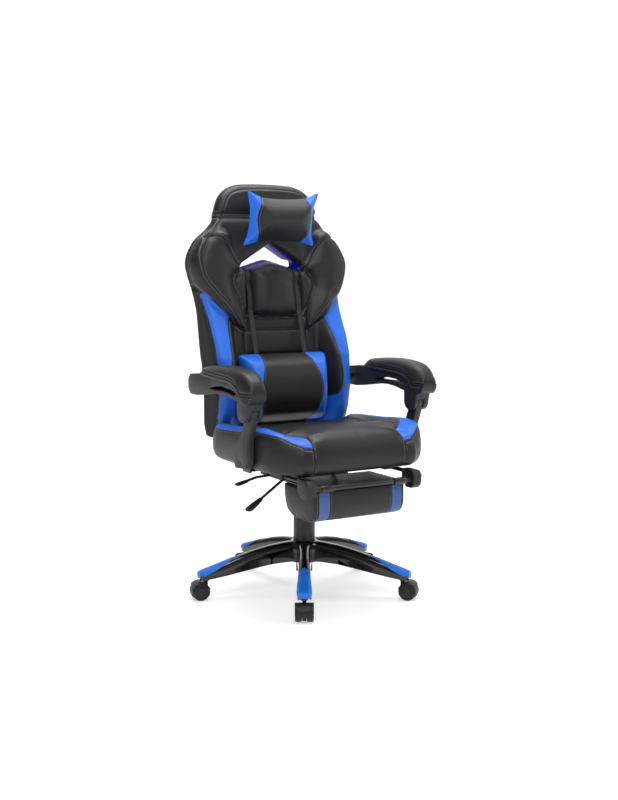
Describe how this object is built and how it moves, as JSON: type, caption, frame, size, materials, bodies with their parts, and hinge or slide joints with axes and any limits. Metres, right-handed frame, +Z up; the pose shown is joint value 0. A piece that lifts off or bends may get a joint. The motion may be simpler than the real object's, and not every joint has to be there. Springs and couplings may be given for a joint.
{
  "type": "gaming chair",
  "caption": "High-backed swivel chair with winged reclining back, linked padded armrests, pull-out footrest and a castered star base",
  "frame": {"origin": "on the floor, on the axis of the column", "axes": "+Z up, the sitter faces -Y, +X towards the sitter's left"},
  "size_m": [0.6767, 0.6931, 1.222],
  "materials": {
    "base_black": "polished black moulding",
    "cover_blue": "satin blue moulding",
    "zinc_steel": "zinc-plated steel",
    "caster_black": "black nylon",
    "wheel_black": "black nylon tread and hubcap",
    "tube_steel": "black enamelled steel",
    "guide_white": "plain acetal",
    "chrome_rod": "hard chromed steel",
    "column_black": "black polypropylene sleeve",
    "mechanism_black": "powder-coated steel",
    "spring_steel": "oiled spring steel",
    "knob_black": "black nylon",
    "lever_steel": "black enamelled bar",
    "grip_black": "moulded grip",
    "frame_steel": "black powder-coated tube",
    "seat_leather": "coated black upholstery over foam",
    "back_leather": "coated black upholstery over foam",
    "pillow_leather": "coated upholstery over fibre filling",
    "strap_webbing": "woven elastic",
    "arm_plastic": "satin charcoal moulding",
    "arm_leather": "coated black upholstery over foam",
    "rest_leather": "coated black upholstery over foam"
  },
  "bodies": {
    "base": {"star_base": "base_black", "leg_covers": "cover_blue", "caster_stems": "zinc_steel", "lift_outer_tube": "tube_steel", "lift_bushing": "guide_white", "column_cover_lower": "column_black"},
    "caster_1": {"caster_hood_1": "caster_black"},
    "wheel_1_left": {"caster_wheel_1_left": "wheel_black"},
    "wheel_1_right": {"caster_wheel_1_right": "wheel_black"},
    "caster_2": {"caster_hood_2": "caster_black"},
    "wheel_2_left": {"caster_wheel_2_left": "wheel_black"},
    "wheel_2_right": {"caster_wheel_2_right": "wheel_black"},
    "caster_3": {"caster_hood_3": "caster_black"},
    "wheel_3_left": {"caster_wheel_3_left": "wheel_black"},
    "wheel_3_right": {"caster_wheel_3_right": "wheel_black"},
    "caster_4": {"caster_hood_4": "caster_black"},
    "wheel_4_left": {"caster_wheel_4_left": "wheel_black"},
    "wheel_4_right": {"caster_wheel_4_right": "wheel_black"},
    "caster_5": {"caster_hood_5": "caster_black"},
    "wheel_5_left": {"caster_wheel_5_left": "wheel_black"},
    "wheel_5_right": {"caster_wheel_5_right": "wheel_black"},
    "lift_rod": {"lift_rod": "chrome_rod", "thrust_bearing": "zinc_steel"},
    "swivel_unit": {"lift_cylinder": "chrome_rod", "column_cover_upper": "column_black", "mechanism_base": "mechanism_black", "tilt_shaft": "zinc_steel", "tension_spring": "spring_steel"},
    "cover_middle": {"column_cover_middle": "column_black"},
    "valve_button": {"valve_button": "zinc_steel"},
    "tension_knob": {"tension_knob": "knob_black"},
    "height_lever": {"height_lever": "lever_steel", "height_lever_grip": "grip_black"},
    "seat": {"seat_plate": "mechanism_black", "seat_frame": "frame_steel", "seat_cushion": "seat_leather", "seat_screws": "zinc_steel", "recliner_brackets": "frame_steel", "rail_guides": "caster_black", "post_brackets": "frame_steel"},
    "recline_lever": {"recline_lever": "lever_steel", "recline_lever_grip": "grip_black"},
    "backrest": {"back_frame": "frame_steel", "back_cushion": "back_leather", "back_bolster_right": "back_leather", "back_bolster_left": "back_leather", "head_pillow": "pillow_leather", "lumbar_pillow": "pillow_leather", "pillow_straps": "strap_webbing"},
    "arm_right": {"arm_shell_right": "arm_plastic", "arm_pad_right": "arm_leather"},
    "post_right": {"arm_post_right": "arm_plastic"},
    "arm_left": {"arm_shell_left": "arm_plastic", "arm_pad_left": "arm_leather"},
    "post_left": {"arm_post_left": "arm_plastic"},
    "footrest_frame": {"footrest_rails": "frame_steel", "footrest_caps": "caster_black"},
    "footrest_pad": {"footrest_plate": "frame_steel", "footrest_pad": "rest_leather"}
  },
  "joints": [
    {"name": "caster_swivel_1", "type": "hinge", "parent": "base", "child": "caster_1", "pos_m": [-0.15342, -0.2636, 0.05], "axis": [0, 0, 1], "continuous": true},
    {"name": "wheel_spin_1_left", "type": "hinge", "parent": "caster_1", "child": "wheel_1_left", "pos_m": [-0.16298, -0.28003, 0.025], "axis": [0.8643, -0.503, 0], "continuous": true},
    {"name": "wheel_spin_1_right", "type": "hinge", "parent": "caster_1", "child": "wheel_1_right", "pos_m": [-0.16298, -0.28003, 0.025], "axis": [0.8643, -0.503, 0], "continuous": true},
    {"name": "caster_swivel_2", "type": "hinge", "parent": "base", "child": "caster_2", "pos_m": [0.20329, -0.22737, 0.05], "axis": [0, 0, 1], "continuous": true},
    {"name": "wheel_spin_2_left", "type": "hinge", "parent": "caster_2", "child": "wheel_2_left", "pos_m": [0.21596, -0.24153, 0.025], "axis": [0.7455, 0.6665, 0], "continuous": true},
    {"name": "wheel_spin_2_right", "type": "hinge", "parent": "caster_2", "child": "wheel_2_right", "pos_m": [0.21596, -0.24153, 0.025], "axis": [0.7455, 0.6665, 0], "continuous": true},
    {"name": "caster_swivel_3", "type": "hinge", "parent": "base", "child": "caster_3", "pos_m": [0.27906, 0.12308, 0.05], "axis": [0, 0, 1], "continuous": true},
    {"name": "wheel_spin_3_left", "type": "hinge", "parent": "caster_3", "child": "wheel_3_left", "pos_m": [0.29645, 0.13075, 0.025], "axis": [-0.4035, 0.915, 0], "continuous": true},
    {"name": "wheel_spin_3_right", "type": "hinge", "parent": "caster_3", "child": "wheel_3_right", "pos_m": [0.29645, 0.13075, 0.025], "axis": [-0.4035, 0.915, 0], "continuous": true},
    {"name": "caster_swivel_4", "type": "hinge", "parent": "base", "child": "caster_4", "pos_m": [-0.03082, 0.30344, 0.05], "axis": [0, 0, 1], "continuous": true},
    {"name": "wheel_spin_4_left", "type": "hinge", "parent": "caster_4", "child": "wheel_4_left", "pos_m": [-0.03274, 0.32234, 0.025], "axis": [-0.9949, -0.1011, 0], "continuous": true},
    {"name": "wheel_spin_4_right", "type": "hinge", "parent": "caster_4", "child": "wheel_4_right", "pos_m": [-0.03274, 0.32234, 0.025], "axis": [-0.9949, -0.1011, 0], "continuous": true},
    {"name": "caster_swivel_5", "type": "hinge", "parent": "base", "child": "caster_5", "pos_m": [-0.29811, 0.06445, 0.05], "axis": [0, 0, 1], "continuous": true},
    {"name": "wheel_spin_5_left", "type": "hinge", "parent": "caster_5", "child": "wheel_5_left", "pos_m": [-0.31668, 0.06847, 0.025], "axis": [-0.2113, -0.9774, 0], "continuous": true},
    {"name": "wheel_spin_5_right", "type": "hinge", "parent": "caster_5", "child": "wheel_5_right", "pos_m": [-0.31668, 0.06847, 0.025], "axis": [-0.2113, -0.9774, 0], "continuous": true},
    {"name": "seat_swivel", "type": "hinge", "parent": "base", "child": "lift_rod", "pos_m": [0, 0, 0.07], "axis": [0, 0, 1], "continuous": true},
    {"name": "seat_lift", "type": "slide", "parent": "lift_rod", "child": "swivel_unit", "axis": [0, 0, 1], "range_m": [0, 0.08]},
    {"name": "cover_slide", "type": "slide", "parent": "lift_rod", "child": "cover_middle", "axis": [0, 0, 1], "range_m": [0, 0.04]},
    {"name": "valve_press", "type": "slide", "parent": "swivel_unit", "child": "valve_button", "axis": [0, 0, -1], "range_m": [0, 0.0042]},
    {"name": "height_lever_pull", "type": "hinge", "parent": "swivel_unit", "child": "height_lever", "pos_m": [-0.0825, -0.06, 0.38], "axis": [0, 1, 0], "range_deg": [0, 2.9], "stiffness_Nm_per_rad": 20, "springref_deg": -2.86},
    {"name": "tension_turn", "type": "hinge", "parent": "swivel_unit", "child": "tension_knob", "pos_m": [0, -0.085, 0.29], "axis": [0, 0, 1], "range_deg": [0, 720]},
    {"name": "seat_tilt", "type": "hinge", "parent": "swivel_unit", "child": "seat", "pos_m": [0, -0.03, 0.395], "axis": [-1, 0, 0], "range_deg": [0, 12], "stiffness_Nm_per_rad": 200, "springref_deg": -14.32},
    {"name": "recline_lever_pull", "type": "hinge", "parent": "seat", "child": "recline_lever", "pos_m": [-0.152, 0, 0.4], "axis": [0, 1, 0], "range_deg": [0, 17], "stiffness_Nm_per_rad": 3, "springref_deg": -8.59},
    {"name": "recline", "type": "hinge", "parent": "seat", "child": "backrest", "pos_m": [0, 0.189, 0.481], "axis": [-1, 0, 0], "range_deg": [0, 38], "stiffness_Nm_per_rad": 60, "springref_deg": -20.05},
    {"name": "arm_link_right", "type": "hinge", "parent": "backrest", "child": "arm_right", "pos_m": [0, 0.142, 0.632], "axis": [-1, 0, 0], "range_deg": [-38, 0]},
    {"name": "post_link_right", "type": "hinge", "parent": "seat", "child": "post_right", "pos_m": [0, -0.135, 0.432], "axis": [-1, 0, 0], "range_deg": [0, 38]},
    {"name": "arm_link_left", "type": "hinge", "parent": "backrest", "child": "arm_left", "pos_m": [0, 0.142, 0.632], "axis": [-1, 0, 0], "range_deg": [-38, 0]},
    {"name": "post_link_left", "type": "hinge", "parent": "seat", "child": "post_left", "pos_m": [0, -0.135, 0.432], "axis": [-1, 0, 0], "range_deg": [0, 38]},
    {"name": "footrest_slide", "type": "slide", "parent": "seat", "child": "footrest_frame", "axis": [0, -1, 0], "range_m": [0, 0.235]},
    {"name": "footrest_turn", "type": "hinge", "parent": "footrest_frame", "child": "footrest_pad", "pos_m": [0, -0.327, 0.377], "axis": [-1, 0, 0], "range_deg": [0, 180]}
  ],
  "couplings": [
    {"joint": "cover_slide", "follows": "seat_lift", "ratio": 0.5},
    {"joint": "valve_press", "follows": "height_lever_pull", "m_per_rad": 0.0825},
    {"joint": "arm_link_right", "follows": "recline", "ratio": -1},
    {"joint": "post_link_right", "follows": "recline", "ratio": 1},
    {"joint": "arm_link_left", "follows": "recline", "ratio": -1},
    {"joint": "post_link_left", "follows": "recline", "ratio": 1}
  ]
}
